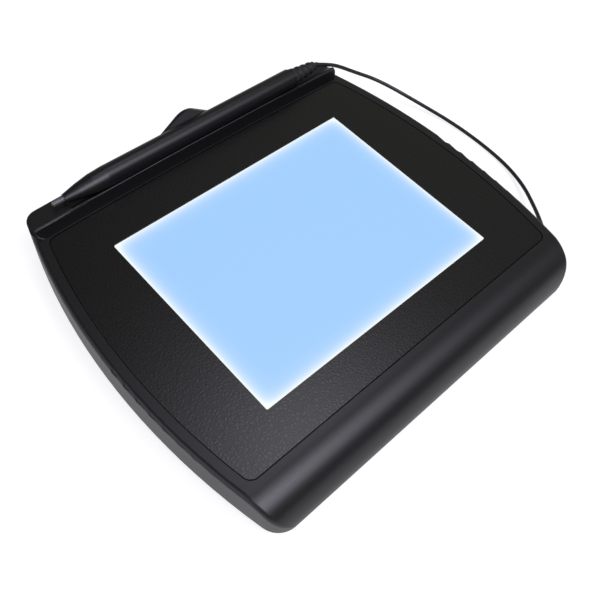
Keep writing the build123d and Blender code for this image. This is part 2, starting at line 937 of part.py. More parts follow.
def pen_nib():
    """Nib with a blunt tip, a flange that keeps it in and a thin stem."""
    shank = pen_line(pen_tip_x, nib_flange_x, nib_radius)
    shank = chamfer(shank.edges().group_by(Axis.X)[0], nib_tip_edge)
    flange = pen_line(nib_flange_x, nib_flange_x + nib_flange, nib_flange_radius)
    stem = pen_line(nib_flange_x, switch_x - nib_travel - nib_gap, nib_stem_radius)
    return shank + flange + stem


def nib_spring():
    """Coil spring that pushes the nib forwards, its wire drawn with four flats."""
    start = nib_flange_x + nib_flange + spring_wire / 2 + nib_gap
    length = coil_x - spring_wire / 2 - nib_gap - start
    helix = Helix(length / spring_turns, length, spring_radius)
    base = Plane(origin=helix @ 0, z_dir=helix % 0)
    wire = sweep(base * RegularPolygon(spring_wire / 2, wire_sides), path=helix, is_frenet=True)
    return Plane(origin=(start, pen_y, pen_z), z_dir=(1, 0, 0)) * wire


def pen_coil():
    """Wound ferrite tube round the nib's stem."""
    return pen_line(coil_x, switch_x, coil_radius) - pen_line(
        coil_x - overrun, switch_x + overrun, nib_stem_radius + nib_gap
    )


def pen_switch():
    """Tip switch on the front of the pen's board."""
    return Pos(switch_x + switch_length / 2, pen_y, pen_z) * Box(switch_length, switch_width, switch_height)


def pen_board():
    """Narrow board behind the tip switch, its edges carried by the barrel's bore."""
    width = 2 * (math.sqrt(pen_bore_radius ** 2 - (pen_board_thickness / 2) ** 2) - pen_board_gap)
    return Pos(pen_board_x + pen_board_length / 2, pen_y, pen_z) * Box(
        pen_board_length, width, pen_board_thickness
    )


def pen_collar():
    """Ring that closes the barrel's rear end and clamps the boot."""
    ring = pen_line(barrel_end_x, collar_end_x, collar_radius)
    ring = chamfer(ring.edges().group_by(Axis.X)[0], collar_edge)
    ring = chamfer(ring.edges().group_by(Axis.X)[-1], collar_edge)
    return ring - pen_line(barrel_end_x - overrun, collar_end_x + overrun, plug_radius)


def pen_boot():
    """Ribbed rubber boot that tapers towards the tether."""
    plug_start = barrel_end_x - boot_plug_length
    pitch = boot_length / boot_rib_count
    points = [(plug_start, 0), (plug_start, plug_radius), (collar_end_x, plug_radius)]
    for rib in range(boot_rib_count):
        start = collar_end_x + rib * pitch
        share = rib / boot_rib_count
        radius = boot_start_radius + share * (boot_end_radius - boot_start_radius)
        points.append((start, radius))
        points.append((start + boot_rib_share * pitch, radius))
        points.append((start + boot_rib_share * pitch, radius - boot_rib_height))
        points.append((start + pitch, radius - boot_rib_height))
    points[-2] = (points[-2][0], boot_end_radius)
    points[-1] = (pen_rear_x, boot_end_radius)
    points.append((pen_rear_x, 0))
    return turned(points)


sub_parts = {
    "top_housing": top_housing,
    "panel": panel,
    "screen_lens": screen_lens,
    "screen_gasket": screen_gasket,
    "lcd_frame": lcd_frame,
    "lcd_glass": lcd_glass,
    "light_guide": light_guide,
    "light_bars": light_bars,
    "backlight_tray": backlight_tray,
    "lcd_screws": lcd_screws,
    "sensor_board": sensor_board,
    "sensor_shield": sensor_shield,
    "main_board": main_board,
    "board_chips": board_chips,
    "board_connectors": board_connectors,
    "board_screws": board_screws,
    "lcd_flex": lcd_flex,
    "sensor_flex": sensor_flex,
    "bottom_cover": bottom_cover,
    "case_screws": case_screws,
    "rubber_feet": rubber_feet,
    "cable_grommet": cable_grommet,
    "tether_gland": tether_gland,
    "tether_cord": tether_cord,
    "pen_barrel": pen_barrel,
    "pen_cone": pen_cone,
    "pen_nib": pen_nib,
    "nib_spring": nib_spring,
    "pen_coil": pen_coil,
    "pen_switch": pen_switch,
    "pen_board": pen_board,
    "pen_collar": pen_collar,
    "pen_boot": pen_boot,
}

os.makedirs("parts", exist_ok=True)
for name, make in sub_parts.items():
    export_step(make(), os.path.join("parts", name + ".step"))
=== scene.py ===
"""Finishes, fine pieces and studio of a signature pad with a lit screen, a pen and a tether."""

import math

import bmesh
import bpy
from bpy.props import FloatProperty, FloatVectorProperty, IntProperty, PointerProperty
from mathutils import Matrix, Vector


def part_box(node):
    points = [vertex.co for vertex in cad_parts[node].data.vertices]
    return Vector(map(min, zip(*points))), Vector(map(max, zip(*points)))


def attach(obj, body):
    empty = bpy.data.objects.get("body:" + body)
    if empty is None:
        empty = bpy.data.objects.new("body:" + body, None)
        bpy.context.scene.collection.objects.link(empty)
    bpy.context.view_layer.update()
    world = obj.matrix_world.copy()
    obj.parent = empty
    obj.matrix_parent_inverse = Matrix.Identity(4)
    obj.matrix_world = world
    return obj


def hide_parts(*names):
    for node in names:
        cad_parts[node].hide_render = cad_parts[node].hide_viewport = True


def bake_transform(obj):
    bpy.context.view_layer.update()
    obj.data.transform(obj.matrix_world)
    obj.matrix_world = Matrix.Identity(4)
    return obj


bl_info = {
    "name": "Signature pad",
    "version": (1, 0, 0),
    "blender": (4, 5, 0),
    "location": "3D View > Sidebar > Signature pad",
    "description": "Finishes, fine pieces and studio of a signature pad with a lit screen",
    "category": "Object",
}

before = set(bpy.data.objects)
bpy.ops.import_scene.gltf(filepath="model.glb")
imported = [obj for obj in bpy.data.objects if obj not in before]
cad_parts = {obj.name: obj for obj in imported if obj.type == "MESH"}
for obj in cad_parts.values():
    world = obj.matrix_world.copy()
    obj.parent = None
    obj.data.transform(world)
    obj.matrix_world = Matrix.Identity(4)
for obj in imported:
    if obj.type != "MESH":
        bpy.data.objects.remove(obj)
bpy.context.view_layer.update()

MM = 0.001

# Points nearer than this are one
WELD = 1e-7


def linear(code):
    """Linear red, green and blue of an sRGB hex value."""
    parts = [int(code[i : i + 2], 16) / 255 for i in (1, 3, 5)]
    return tuple(c / 12.92 if c <= 0.04045 else ((c + 0.055) / 1.055) ** 2.4 for c in parts)


def rgba(colour):
    """A linear colour with full cover."""
    return (*colour, 1.0)


def colour_prop(label, description, code):
    """A colour that the user can change."""
    return FloatVectorProperty(
        name=label,
        description=description,
        default=linear(code),
        subtype="COLOR",
        size=3,
        min=0.0,
        max=1.0,
    )


def length_prop(label, description, millimetres):
    """A length that the user can change, in metres with a unit."""
    return FloatProperty(
        name=label,
        description=description,
        default=millimetres * MM,
        min=0.0,
        subtype="DISTANCE",
        unit="LENGTH",
        precision=5,
    )


def strength_prop(label, description, strength):
    """A strength of light that the user can change."""
    return FloatProperty(name=label, description=description, default=strength, min=0.0)


class PadFinish(bpy.types.PropertyGroup):
    """Colours of what shows from outside."""

    housing: colour_prop("Housing", "Black ABS of the moulded housing", "#0B0B0C")
    panel: colour_prop("Panel", "Black film of the grained panel", "#0B0B0B")
    pen: colour_prop("Pen", "Black ABS of the pen", "#060607")
    rubber: colour_prop("Rubber", "Black rubber of feet, boot and tether", "#111112")
    picture: colour_prop("Picture", "Light blue of the lit screen", "#A2CFFF")
    picture_edge: colour_prop("Picture edge", "Paler light along the window", "#F8FFFD")
    nib: colour_prop("Nib", "Grey nylon of the nib", "#5C5C5E")


class PadSizes(bpy.types.PropertyGroup):
    """Sizes of the fine pieces."""

    panel_grain: length_prop("Panel grain", "Width of a pebble of the leather grain", 1.4)
    housing_grain: length_prop("Housing grain", "Width of the spark texture's spots", 0.7)
    glow_width: length_prop("Edge glow", "Depth at which the pale light along the window fades", 2.05)
    tether_diameter: length_prop("Tether", "Diameter of the tether", 1.74)
    rib_count: IntProperty(
        name="Boot ribs",
        description="Number of ribs on the pen's boot",
        default=4,
        min=1,
        max=12,
    )


class StudioSettings(bpy.types.PropertyGroup):
    """Light and floor."""

    floor: colour_prop("Floor", "Pale table top", "#F2F2F2")
    floor_share: FloatProperty(
        name="Shaded share",
        description="Share of the table top's light that the object can shade",
        default=0.36,
        min=0.0,
        max=1.0,
        subtype="FACTOR",
    )
    room: strength_prop("Room", "Strength of the dim room all round", 0.17)
    window: strength_prop("Window light", "Strength of the soft light in front, high up", 10.4)
    ceiling: strength_prop("Ceiling lamp", "Strength of the lamp overhead", 7.6)
    wall: strength_prop("Pale wall", "Strength of the light from the wall on the left", 1.7)


# Nodes and materials


def add(tree, kind, inputs=None, **settings):
    """Add one node with its settings, its sockets' values and the links into them."""
    node = tree.nodes.new(kind)
    for key, value in settings.items():
        setattr(node, key, value)
    for key, value in (inputs or {}).items():
        if isinstance(value, bpy.types.NodeSocket):
            tree.links.new(value, node.inputs[key])
        else:
            node.inputs[key].default_value = value
    return node


def calc(tree, operation, *values, **settings):
    """One step of arithmetic on numbers, and its result."""
    inputs = dict(enumerate(values))
    return add(tree, "ShaderNodeMath", inputs, operation=operation, **settings).outputs[0]


def calc_vector(tree, operation, *values, scale=None):
    """One step of arithmetic on vectors, and its result."""
    inputs = dict(enumerate(values))
    if scale is not None:
        inputs["Scale"] = scale
    node = add(tree, "ShaderNodeVectorMath", inputs, operation=operation)
    return node.outputs["Value" if operation in ("LENGTH", "DOT_PRODUCT") else "Vector"]


def mixed(tree, share, one, other):
    """Colour that lies by a share on the way from one colour to another."""
    tones = {0: share, 6: one, 7: other}
    return add(tree, "ShaderNodeMix", tones, data_type="RGBA").outputs[2]


def new_material(name):
    """An empty node material and its tree."""
    material = bpy.data.materials.new(name)
    material.use_nodes = True
    material.node_tree.nodes.clear()
    return material, material.node_tree


def surface(tree, **inputs):
    """Shader and output of a material."""
    names = {key.replace("_", " "): value for key, value in inputs.items()}
    shader = add(tree, "ShaderNodeBsdfPrincipled", names)
    add(tree, "ShaderNodeOutputMaterial", {"Surface": shader.outputs[0]})


# Clouds of colour have this share of the spots' density
CLOUD_SHARE = 0.04


def spotted(name, colour, clouds, grain, depth, rough, spread, metallic=0.0, ior=1.5, leaning=None):
    """Plain finish: fine spots in roughness and bump, wide faint clouds in colour. Sizes in mm.

    Where a leaning is given, it makes the normal that the bump starts from.
    """
    material, tree = new_material(name)
    place = add(tree, "ShaderNodeTexCoord").outputs["Object"]
    density = 1 / (grain * MM)
    fine = add(tree, "ShaderNodeTexNoise", {"Vector": place, "Scale": density, "Detail": 3.0})
    wide = {"Vector": place, "Scale": CLOUD_SHARE * density, "Detail": 2.0}
    cloud = add(tree, "ShaderNodeTexNoise", wide)
    tone = mixed(tree, cloud.outputs["Fac"], rgba(colour), rgba(clouds))
    gloss = add(
        tree,
        "ShaderNodeMapRange",
        {"Value": fine.outputs["Fac"], "To Min": rough - spread, "To Max": rough + spread},
    )
    relief = {"Height": fine.outputs["Fac"], "Strength": 1.0, "Distance": depth * MM}
    if leaning:
        relief["Normal"] = leaning(tree, place)
    bump = add(tree, "ShaderNodeBump", relief)
    surface(
        tree,
        Base_Color=tone,
        Metallic=metallic,
        Roughness=gloss.outputs[0],
        IOR=ior,
        Normal=bump.outputs[0],
    )
    return material


def leather_abs(name, colour, pebble):
    """Black film with a leather grain: rounded pebbles between fine creases, rather matt, with painted shade
    in the creases and a painted sheen on the pebbles' crowns.

    The real pebbles are about 0.3 mm wide; they are drawn coarser, at the width that is passed in.
    """
    wander_density = 0.7 / pebble
    pore_density = 2.6 / pebble
    shoulder = 0.35
    pore_share = 0.1
    relief_depth = 0.01 * MM
    crease_rough = 0.29
    crown_rough = 0.255
    # Painted shade and sheen: the creases are drawn darker and the pebbles' crowns paler
    crease_painted_shade = [0.7 * c for c in colour]
    crown_painted_sheen = [1.15 * c for c in colour]
    material, tree = new_material(name)
    place = add(tree, "ShaderNodeTexCoord").outputs["Object"]
    wander = add(tree, "ShaderNodeTexNoise", {"Vector": place, "Scale": wander_density, "Detail": 2.0})
    shifted = calc_vector(tree, "MULTIPLY_ADD", wander.outputs["Color"], (pebble, pebble, pebble), place)
    cells = add(
        tree,
        "ShaderNodeTexVoronoi",
        {"Vector": shifted, "Scale": 1 / pebble},
        feature="DISTANCE_TO_EDGE",
    )
    slope = {"Value": cells.outputs["Distance"], "From Max": shoulder}
    crown = add(tree, "ShaderNodeMapRange", slope, interpolation_type="SMOOTHSTEP")
    pores = add(tree, "ShaderNodeTexNoise", {"Vector": place, "Scale": pore_density, "Detail": 2.0})
    height = calc(tree, "MULTIPLY_ADD", pores.outputs["Fac"], pore_share, crown.outputs[0])
    gloss = add(
        tree,
        "ShaderNodeMapRange",
        {"Value": crown.outputs[0], "To Min": crease_rough, "To Max": crown_rough},
    )
    relief = add(tree, "ShaderNodeBump", {"Height": height, "Strength": 1.0, "Distance": relief_depth})
    tone = mixed(tree, crown.outputs[0], rgba(crease_painted_shade), rgba(crown_painted_sheen))
    surface(tree, Base_Color=tone, Roughness=gloss.outputs[0], IOR=1.5, Normal=relief.outputs[0])
    return material


# How far up the normal leans at the nib's end of the pen's cone
CONE_CROWN = 0.26


def crowned(tree, place):
    """Normal of the pen's cone, which leans up near the nib and less and less towards the barrel."""
    low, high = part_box("pen_cone")
    normal = add(tree, "ShaderNodeNewGeometry").outputs["Normal"]
    spot = add(tree, "ShaderNodeSeparateXYZ", {0: place})
    run = {"Value": spot.outputs["X"], "From Min": low.x, "From Max": high.x}
    lift = add(tree, "ShaderNodeMapRange", {**run, "To Min": CONE_CROWN, "To Max": 0.0})
    upward = add(tree, "ShaderNodeCombineXYZ", {"Z": lift.outputs[0]})
    leant = calc_vector(tree, "ADD", normal, upward.outputs[0])
    return calc_vector(tree, "NORMALIZE", leant)


# Height of the tray's riser and half of its span, the line behind which the tray begins, the tab's foot
RISER_MIDDLE = 21.65 * MM
RISER_HALF = 1.65 * MM
TRAY_FRONT = 58 * MM
TAB_FOOT = 24.3 * MM

# How far forward or sideways a face points where its leaning begins and where it is whole
FRONT_FACING = (-0.3, -0.6)
END_FACING = (0.1, 0.3)

# Leaning of the riser, of the tray's ends and of the tab's face
RISER_LEAN = (0.0, -0.6, -0.5)
END_LEAN = (0.0, 0.0, 3.0)
TAB_LEAN = (0.0, 0.0, 0.8)

# The bowed sides' arcs, as in the CAD model, the round edge at their top and how far it runs each way
BOW_RADIUS = 279.7 * MM
BOW_CENTRE = 189.4 * MM
BOW_WIDEST = -5.925 * MM
EDGE_RADIUS = 1.8 * MM
EDGE_FOOT = 18.2 * MM
WALL_FOOT = 5 * MM
EDGE_RUN = 56 * MM


def round_edge(tree, spot, normal):
    """Normal with the side walls and their top edges even, where the mesh has long thin triangles."""
    half = calc(tree, "SIGN", spot.outputs["X"])
    arm = calc(tree, "MULTIPLY_ADD", half, BOW_CENTRE, spot.outputs["X"])
    along = calc(tree, "SUBTRACT", spot.outputs["Y"], BOW_WIDEST)
    spoke = add(tree, "ShaderNodeCombineXYZ", {"X": arm, "Y": along})
    reach = calc_vector(tree, "LENGTH", spoke.outputs[0])
    outward = calc_vector(tree, "NORMALIZE", spoke.outputs[0])
    least = BOW_RADIUS - EDGE_RADIUS
    past = calc(tree, "SUBTRACT", reach, least)
    climb = calc(tree, "SUBTRACT", spot.outputs["Z"], EDGE_FOOT)
    rise = calc(tree, "MAXIMUM", climb, 0.0)
    sideways = calc_vector(tree, "SCALE", outward, scale=past)
    upward = add(tree, "ShaderNodeCombineXYZ", {"Z": rise})
    slant = calc_vector(tree, "ADD", sideways, upward.outputs[0])
    even = calc_vector(tree, "NORMALIZE", slant)
    outer = calc(tree, "GREATER_THAN", past, 0.0)
    high = calc(tree, "GREATER_THAN", spot.outputs["Z"], WALL_FOOT)
    within = calc(tree, "COMPARE", spot.outputs["Y"], 0.0, EDGE_RUN)
    corner = calc(tree, "MULTIPLY", outer, high)
    share = calc(tree, "MULTIPLY", corner, within)
    normals = {0: share, 4: normal, 5: even}
    return add(tree, "ShaderNodeMix", normals, data_type="VECTOR").outputs[1]


def hollowed(tree, place):
    """Normal of the housing: the tray's riser drawn steep, its ends rolled over, the tab's face dished."""
    normal = add(tree, "ShaderNodeNewGeometry").outputs["Normal"]
    spot = add(tree, "ShaderNodeSeparateXYZ", {0: place})
    height = spot.outputs["Z"]
    slope = add(tree, "ShaderNodeSeparateXYZ", {0: normal})
    edge, full = FRONT_FACING
    front = add(tree, "ShaderNodeMapRange", {"Value": slope.outputs["Y"], "From Min": edge, "From Max": full})
    sideways = calc(tree, "ABSOLUTE", slope.outputs["X"])
    edge, full = END_FACING
    end = add(tree, "ShaderNodeMapRange", {"Value": sideways, "From Min": edge, "From Max": full})
    raised = calc(tree, "COMPARE", height, RISER_MIDDLE, RISER_HALF)
    behind = calc(tree, "GREATER_THAN", spot.outputs["Y"], TRAY_FRONT)
    on_tray = calc(tree, "MULTIPLY", raised, behind)
    on_tab = calc(tree, "GREATER_THAN", height, TAB_FOOT)
    normal = round_edge(tree, spot, normal)
    leanings = ((on_tray, front, RISER_LEAN), (on_tray, end, END_LEAN), (on_tab, front, TAB_LEAN))
    for level, facing, lean in leanings:
        share = calc(tree, "MULTIPLY", level, facing.outputs[0])
        tilt = calc_vector(tree, "SCALE", lean, scale=share)
        normal = calc_vector(tree, "ADD", normal, tilt)
    return calc_vector(tree, "NORMALIZE", normal)


def lit_film(name, node, finish, glow):
    """Clear sheet under a matt coat, which scatters the display's light: paler along the window.

    The coat's real mist is too fine to show; it is drawn coarser, at the width below.
    """
    mist_width = 0.4 * MM
    least_rough = 0.3
    most_rough = 0.42
    held_back = 0.75
    brightness = 0.97
    low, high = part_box(node)
    material, tree = new_material(name)
    place = add(tree, "ShaderNodeTexCoord").outputs["Object"]
    centre = tuple((low + high) / 2)
    centred = calc_vector(tree, "SUBTRACT", place, centre)
    folded = calc_vector(tree, "ABSOLUTE", centred)
    reach = tuple((high - low) / 2)
    inward = calc_vector(tree, "SUBTRACT", reach, folded)
    fall = calc_vector(tree, "SCALE", inward, scale=-1 / glow)
    sides = add(tree, "ShaderNodeSeparateXYZ", {0: fall})
    across = calc(tree, "EXPONENT", sides.outputs["X"])
    along = calc(tree, "EXPONENT", sides.outputs["Y"])
    depth = calc(tree, "ADD", across, along, use_clamp=True)
    light = mixed(tree, depth, rgba(finish.picture), rgba(finish.picture_edge))
    mist = add(tree, "ShaderNodeTexNoise", {"Vector": place, "Scale": 1 / mist_width, "Detail": 1.0})
    gloss = add(
        tree,
        "ShaderNodeMapRange",
        {"Value": mist.outputs["Fac"], "To Min": least_rough, "To Max": most_rough},
    )
    ray = add(tree, "ShaderNodeLightPath").outputs
    veil = calc(tree, "MULTIPLY", ray["Is Glossy Ray"], held_back)
    sent = mixed(tree, veil, light, rgba((0.0, 0.0, 0.0)))
    surface(
        tree,
        Base_Color=rgba(linear("#20262E")),
        Roughness=gloss.outputs[0],
        IOR=1.4,
        Emission_Color=sent,
        Emission_Strength=brightness,
    )
    return material


FINISHES = {}

# Plain finishes: name, colours of ground and clouds, spots' width and depth, roughness, its spread, metal
# share and IOR. The real spots are a few hundredths of a millimetre wide and are drawn coarser, to show.
PLAIN = {
    # Blasted tool: flat dull black, which shows no line of light at its edges
    "cover_black": ("ABS black blasted moulding", "#0B0B0C", "#151516", 0.9, 0.02, 0.55, 0.08, 0.0, 1.5),
    # Cut from a foamed sheet: dead black with open pores, no shine
    "gasket_foam": ("Polyurethane foam closed cell", "#1A1A1A", "#2A2A2A", 0.3, 0.05, 0.9, 0.05, 0.0, 1.5),
    # Rolled, tin-plated and pressed: pale and soft, with faint clouds from the rolls
    "frame_steel": ("Steel sheet tin plated", "#B4B6BA", "#9EA0A5", 0.8, 0.003, 0.32, 0.08, 1.0, 1.5),
    # Polished mould: wet-looking and faintly blue in depth
    "light_guide": ("Acrylic clear moulding", "#DCE8F2", "#C8DCEE", 0.8, 0.01, 0.18, 0.05, 0.0, 1.49),
    # Silicone cast over lamps: milky, a little sticky in its shine
    "lamp_white": ("Silicone white lamp body", "#F2F2EC", "#E6E6DC", 0.5, 0.01, 0.4, 0.1, 0.0, 1.41),
    # Filled white moulding: even and chalky, so that it sends light back all ways
    "tray_white": ("Polycarbonate white reflector", "#EFEFEA", "#E2E2DC", 0.9, 0.01, 0.5, 0.08, 0.0, 1.58),
    # Barrel-plated: bright with small dull spots where screws rubbed together
    "screw_zinc": ("Steel screw bright zinc", "#A9ABAF", "#8C8E92", 0.3, 0.003, 0.28, 0.1, 1.0, 1.5),
    # Printed lacquer over copper: green, smooth, with darker clouds where copper lies under it
    "board_green": ("Solder mask green", "#1E5A34", "#17482A", 1.5, 0.01, 0.35, 0.08, 0.0, 1.5),
    # Rolled thin: grey-white and slightly wrinkled, so that its shine breaks up
    "shield_foil": ("Aluminium sheet rolled", "#C4C5C7", "#B2B3B6", 2.0, 0.02, 0.35, 0.1, 1.0, 1.5),
    # Transfer-moulded epoxy: sooty grey, matt
    "chip_black": ("Epoxy chip body", "#1C1C1E", "#242426", 0.2, 0.01, 0.6, 0.08, 0.0, 1.5),
    # Heat-proof moulding: cream, with a soft sheen
    "socket_white": ("Nylon cream socket", "#E4DFD0", "#D8D2C0", 0.6, 0.01, 0.5, 0.08, 0.0, 1.53),
    # Cast film: orange-brown with a hard shine
    "flex_amber": ("Polyimide amber film", "#B4691A", "#9A5612", 1.0, 0.005, 0.3, 0.06, 0.0, 1.6),
    # Drawn wire: bright, with tight highlights
    "spring_steel": ("Spring steel drawn wire", "#B8BABD", "#A3A5A8", 0.2, 0.001, 0.22, 0.05, 1.0, 1.5),
    # Pressed and fired: dark stone grey, grainy
    "ferrite_grey": ("Ferrite fired grey", "#3A3A3C", "#2E2E30", 0.3, 0.01, 0.6, 0.1, 0.0, 1.9),
}

# The same for what shows from outside, where the ground's colour is the setting named in its place
SHOWN = {
    # Polished tool, handled daily: smoother than the housing, with one clear streak along it
    "pen_black": ("ABS black satin pen", "pen", "#080808", 0.6, 0.003, 0.38, 0.03, 0.0, 1.45),
    # The same plastic on the crowned cone, whose streak of light runs down towards the nib
    "pen_cone": ("ABS black satin pen cone", "pen", "#080808", 0.6, 0.003, 0.37, 0.03, 0.0, 1.48, crowned),
    # Turned from rod: mid grey, smooth, a little waxy
    "nib_grey": ("Nylon grey nib", "nib", "#535355", 0.4, 0.001, 0.3, 0.03, 0.0, 1.48),
    # Soft rubber: dull black, a touch lighter than the plastic
    "soft_black": ("Rubber black soft", "rubber", "#161617", 0.5, 0.02, 0.6, 0.1, 0.0, 1.5),
    # Extruded jacket: black with a soft line of light along it
    "cord_black": ("PVC black cord jacket", "rubber", "#19191A", 1.2, 0.02, 0.42, 0.08, 0.0, 1.5),
}


def make_finishes(finish, sizes):
    """All materials by their slot: what shows from outside takes its colour from the settings."""
    # Spark-eroded tool: an even black satin that turns highlights into broad soft bands
    # Its real spots are about 0.1 mm wide and are drawn coarser, at the width in the settings
    FINISHES["housing_black"] = spotted(
        "ABS black spark eroded",
        finish.housing,
        clouds=[1.4 * c for c in finish.housing],
        grain=sizes.housing_grain / MM,
        depth=0.008,
        rough=0.36,
        spread=0.05,
        leaning=hollowed,
    )
    # Grained polymer film: black with fine rounded pebbles, which glint against low light
    FINISHES["panel_grain"] = leather_abs("Polymer film black leather grain", finish.panel, sizes.panel_grain)
    # Clear sheet under a matt hard coat: an even glow, paler along its edges
    coated = "Polycarbonate hard coated lit"
    FINISHES["lens_clear"] = lit_film(coated, "screen_lens", finish, sizes.glow_width)
    # Lit display: the same glow as it leaves the cell
    FINISHES["lit_cell"] = lit_film("Display cell lit", "lcd_glass", finish, sizes.glow_width)
    for slot, (name, setting, clouds, *rest) in SHOWN.items():
        FINISHES[slot] = spotted(name, getattr(finish, setting), linear(clouds), *rest)
    for slot, (name, colour, clouds, *rest) in PLAIN.items():
        FINISHES[slot] = spotted(name, linear(colour), linear(clouds), *rest)


def dress(node, slot):
    """Give a CAD node its finish."""
    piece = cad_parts[node]
    piece.data.materials.clear()
    piece.data.materials.append(FINISHES[slot])


# Meshes


def placed(name, data):
    """A new object at the origin, in the scene."""
    piece = bpy.data.objects.new(name, data)
    bpy.context.scene.collection.objects.link(piece)
    return piece


def plain_mesh(piece):
    """The mesh that an object's modifiers, or its curve's settings, make of it."""
    graph = bpy.context.evaluated_depsgraph_get()
    return bpy.data.meshes.new_from_object(piece.evaluated_get(graph))


def mesh_object(name, bm):
    """An object at the origin from a finished bmesh."""
    bmesh.ops.remove_doubles(bm, verts=bm.verts, dist=WELD)
    bmesh.ops.recalc_face_normals(bm, faces=bm.faces)
    mesh = bpy.data.meshes.new(name)
    bm.to_mesh(mesh)
    bm.free()
    return placed(name, mesh)


def shade(piece, degrees=35):
    """Smooth shading that keeps edges sharper than an angle."""
    mesh = piece.data
    mesh.shade_smooth()
    mesh.set_sharp_from_angle(angle=math.radians(degrees))


def polar(radius, angle, height):
    """A place from its distance and angle round Z."""
    return (radius * math.cos(angle), radius * math.sin(angle), height)


def skin(bm, rings, steps):
    """Faces between rings of vertices, where a ring of one vertex is a point on the axis."""
    for lower, upper in zip(rings, rings[1:]):
        for i in range(steps):
            j = (i + 1) % steps
            near = [lower[i % len(lower)], lower[j % len(lower)]]
            far = [upper[j % len(upper)], upper[i % len(upper)]]
            corners = list(dict.fromkeys(near + far))
            if len(corners) > 2:
                bm.faces.new(corners)


def lathe(bm, profile, steps):
    """Turn a profile of (radius, height) pairs round Z, closed where the radius is nought."""
    turns = [2 * math.pi * i / steps for i in range(steps)]
    rings = []
    for radius, height in profile:
        angles = turns if radius > 0 else [0.0]
        rings.append([bm.verts.new(polar(radius, angle, height)) for angle in angles])
    skin(bm, rings, steps)


def rounded(radius, edge, steps):
    """Quarter arc of a lathe's profile, from the flat underside to the side."""
    angles = [math.pi / 2 * k / steps for k in range(steps + 1)]
    return [(radius - edge + edge * math.sin(a), edge - edge * math.cos(a)) for a in angles]


def solid_boxes(node):
    """Lowest and highest corner of each solid in a CAD node."""
    bm = bmesh.new()
    bm.from_mesh(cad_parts[node].data)
    bmesh.ops.remove_doubles(bm, verts=bm.verts, dist=WELD)
    seen = set()
    boxes = []
    for start in bm.verts:
        if start in seen:
            continue
        seen.add(start)
        island = [start]
        for vert in island:
            for edge in vert.link_edges:
                other = edge.other_vert(vert)
                if other not in seen:
                    seen.add(other)
                    island.append(other)
        low = Vector([min(v.co[k] for v in island) for k in range(3)])
        high = Vector([max(v.co[k] for v in island) for k in range(3)])
        boxes.append((low, high))
    bm.free()
    return boxes


def open_group(name, **inputs):
    """A geometry node group with named inputs, the last of them its finish, and the inputs' sockets."""
    tree = bpy.data.node_groups.new(name, "GeometryNodeTree")
    kinds = {"Geometry": "Geometry", **inputs, "Finish": "Material"}
    for label, kind in kinds.items():
        label = label.replace("_", " ")
        tree.interface.new_socket(label, in_out="INPUT", socket_type="NodeSocket" + kind)
    tree.interface.new_socket("Geometry", in_out="OUTPUT", socket_type="NodeSocketGeometry")
    return tree, add(tree, "NodeGroupInput").outputs


def close_group(tree, geometry, finish):
    """Make a group's copies real, give them their finish and pass them out."""
    real = add(tree, "GeometryNodeRealizeInstances", {"Geometry": geometry})
    painted = add(tree, "GeometryNodeSetMaterial", {"Geometry": real.outputs[0], "Material": finish})
    add(tree, "NodeGroupOutput", {"Geometry": painted.outputs[0]})
    return tree


def grown(name, tree, inputs, start=None):
    """Run a node group on a mesh and keep the result as a plain mesh at the origin."""
    source = placed(name, start or bpy.data.meshes.new(name))
    modifier = source.modifiers.new("Grow", "NODES")
    modifier.node_group = tree
    for item in tree.interface.items_tree:
        if item.in_out == "INPUT" and item.name in inputs:
            modifier[item.identifier] = inputs[item.name]
    mesh = plain_mesh(source)
    source.modifiers.clear()
    source.data = mesh
    return source


def points_tree():
    """Node group that sets a copy of one piece on every point, each turned a little by a fixed seed."""
    tree, entry = open_group("Copies on points", Piece="Object", Most_turn="Float")
    piece = add(tree, "GeometryNodeObjectInfo", {"Object": entry["Piece"]})
    turn = add(tree, "FunctionNodeRandomValue", {"Max": entry["Most turn"], "Seed": 4}, data_type="FLOAT")
    angle = add(tree, "ShaderNodeCombineXYZ", {"Z": turn.outputs["Value"]})
    copies = add(
        tree,
        "GeometryNodeInstanceOnPoints",
        {"Points": entry["Geometry"], "Instance": piece.outputs["Geometry"], "Rotation": angle.outputs[0]},
    )
    return close_group(tree, copies.outputs[0], entry["Finish"])


def copies_at(name, places, pattern, slot, most_turn=0.0):
    """Copies of a pattern piece at places, as one plain mesh; the pattern goes."""
    tree = bpy.data.node_groups.get("Copies on points") or points_tree()
    points = bpy.data.meshes.new(name)
    points.from_pydata(places, [], [])
    inputs = {"Piece": pattern, "Most turn": most_turn, "Finish": FINISHES[slot]}
    piece = grown(name, tree, inputs, points)
    bpy.data.objects.remove(pattern)
    shade(piece)
    return piece


# Operators


class PadOperator:
    """What the pad's operators share."""

    bl_options = {"REGISTER", "UNDO"}


class SIGPAD_OT_finishes(PadOperator, bpy.types.Operator):
    """Make the materials"""

    bl_idname = "sigpad.finishes"
    bl_label = "Finishes"

    def execute(self, context):
        make_finishes(context.scene.pad_finish, context.scene.pad_sizes)
        return {"FINISHED"}


class SIGPAD_OT_housing(PadOperator, bpy.types.Operator):
    """Dress the top housing, the grained panel, the bottom cover and the cable grommet"""

    bl_idname = "sigpad.housing"
    bl_label = "Housing"

    def execute(self, context):
        dress("top_housing", "housing_black")
        dress("panel", "panel_grain")
        dress("bottom_cover", "cover_black")
        dress("cable_grommet", "soft_black")
        dress("tether_gland", "soft_black")
        return {"FINISHED"}


class SIGPAD_OT_display(PadOperator, bpy.types.Operator):
    """Dress the writing surface and the display under it"""

    bl_idname = "sigpad.display"
    bl_label = "Display"

    def execute(self, context):
        dress("screen_lens", "lens_clear")
        dress("screen_gasket", "gasket_foam")
        dress("lcd_frame", "frame_steel")
        dress("lcd_glass", "lit_cell")
        dress("light_guide", "light_guide")
        dress("light_bars", "lamp_white")
        dress("backlight_tray", "tray_white")
        return {"FINISHED"}


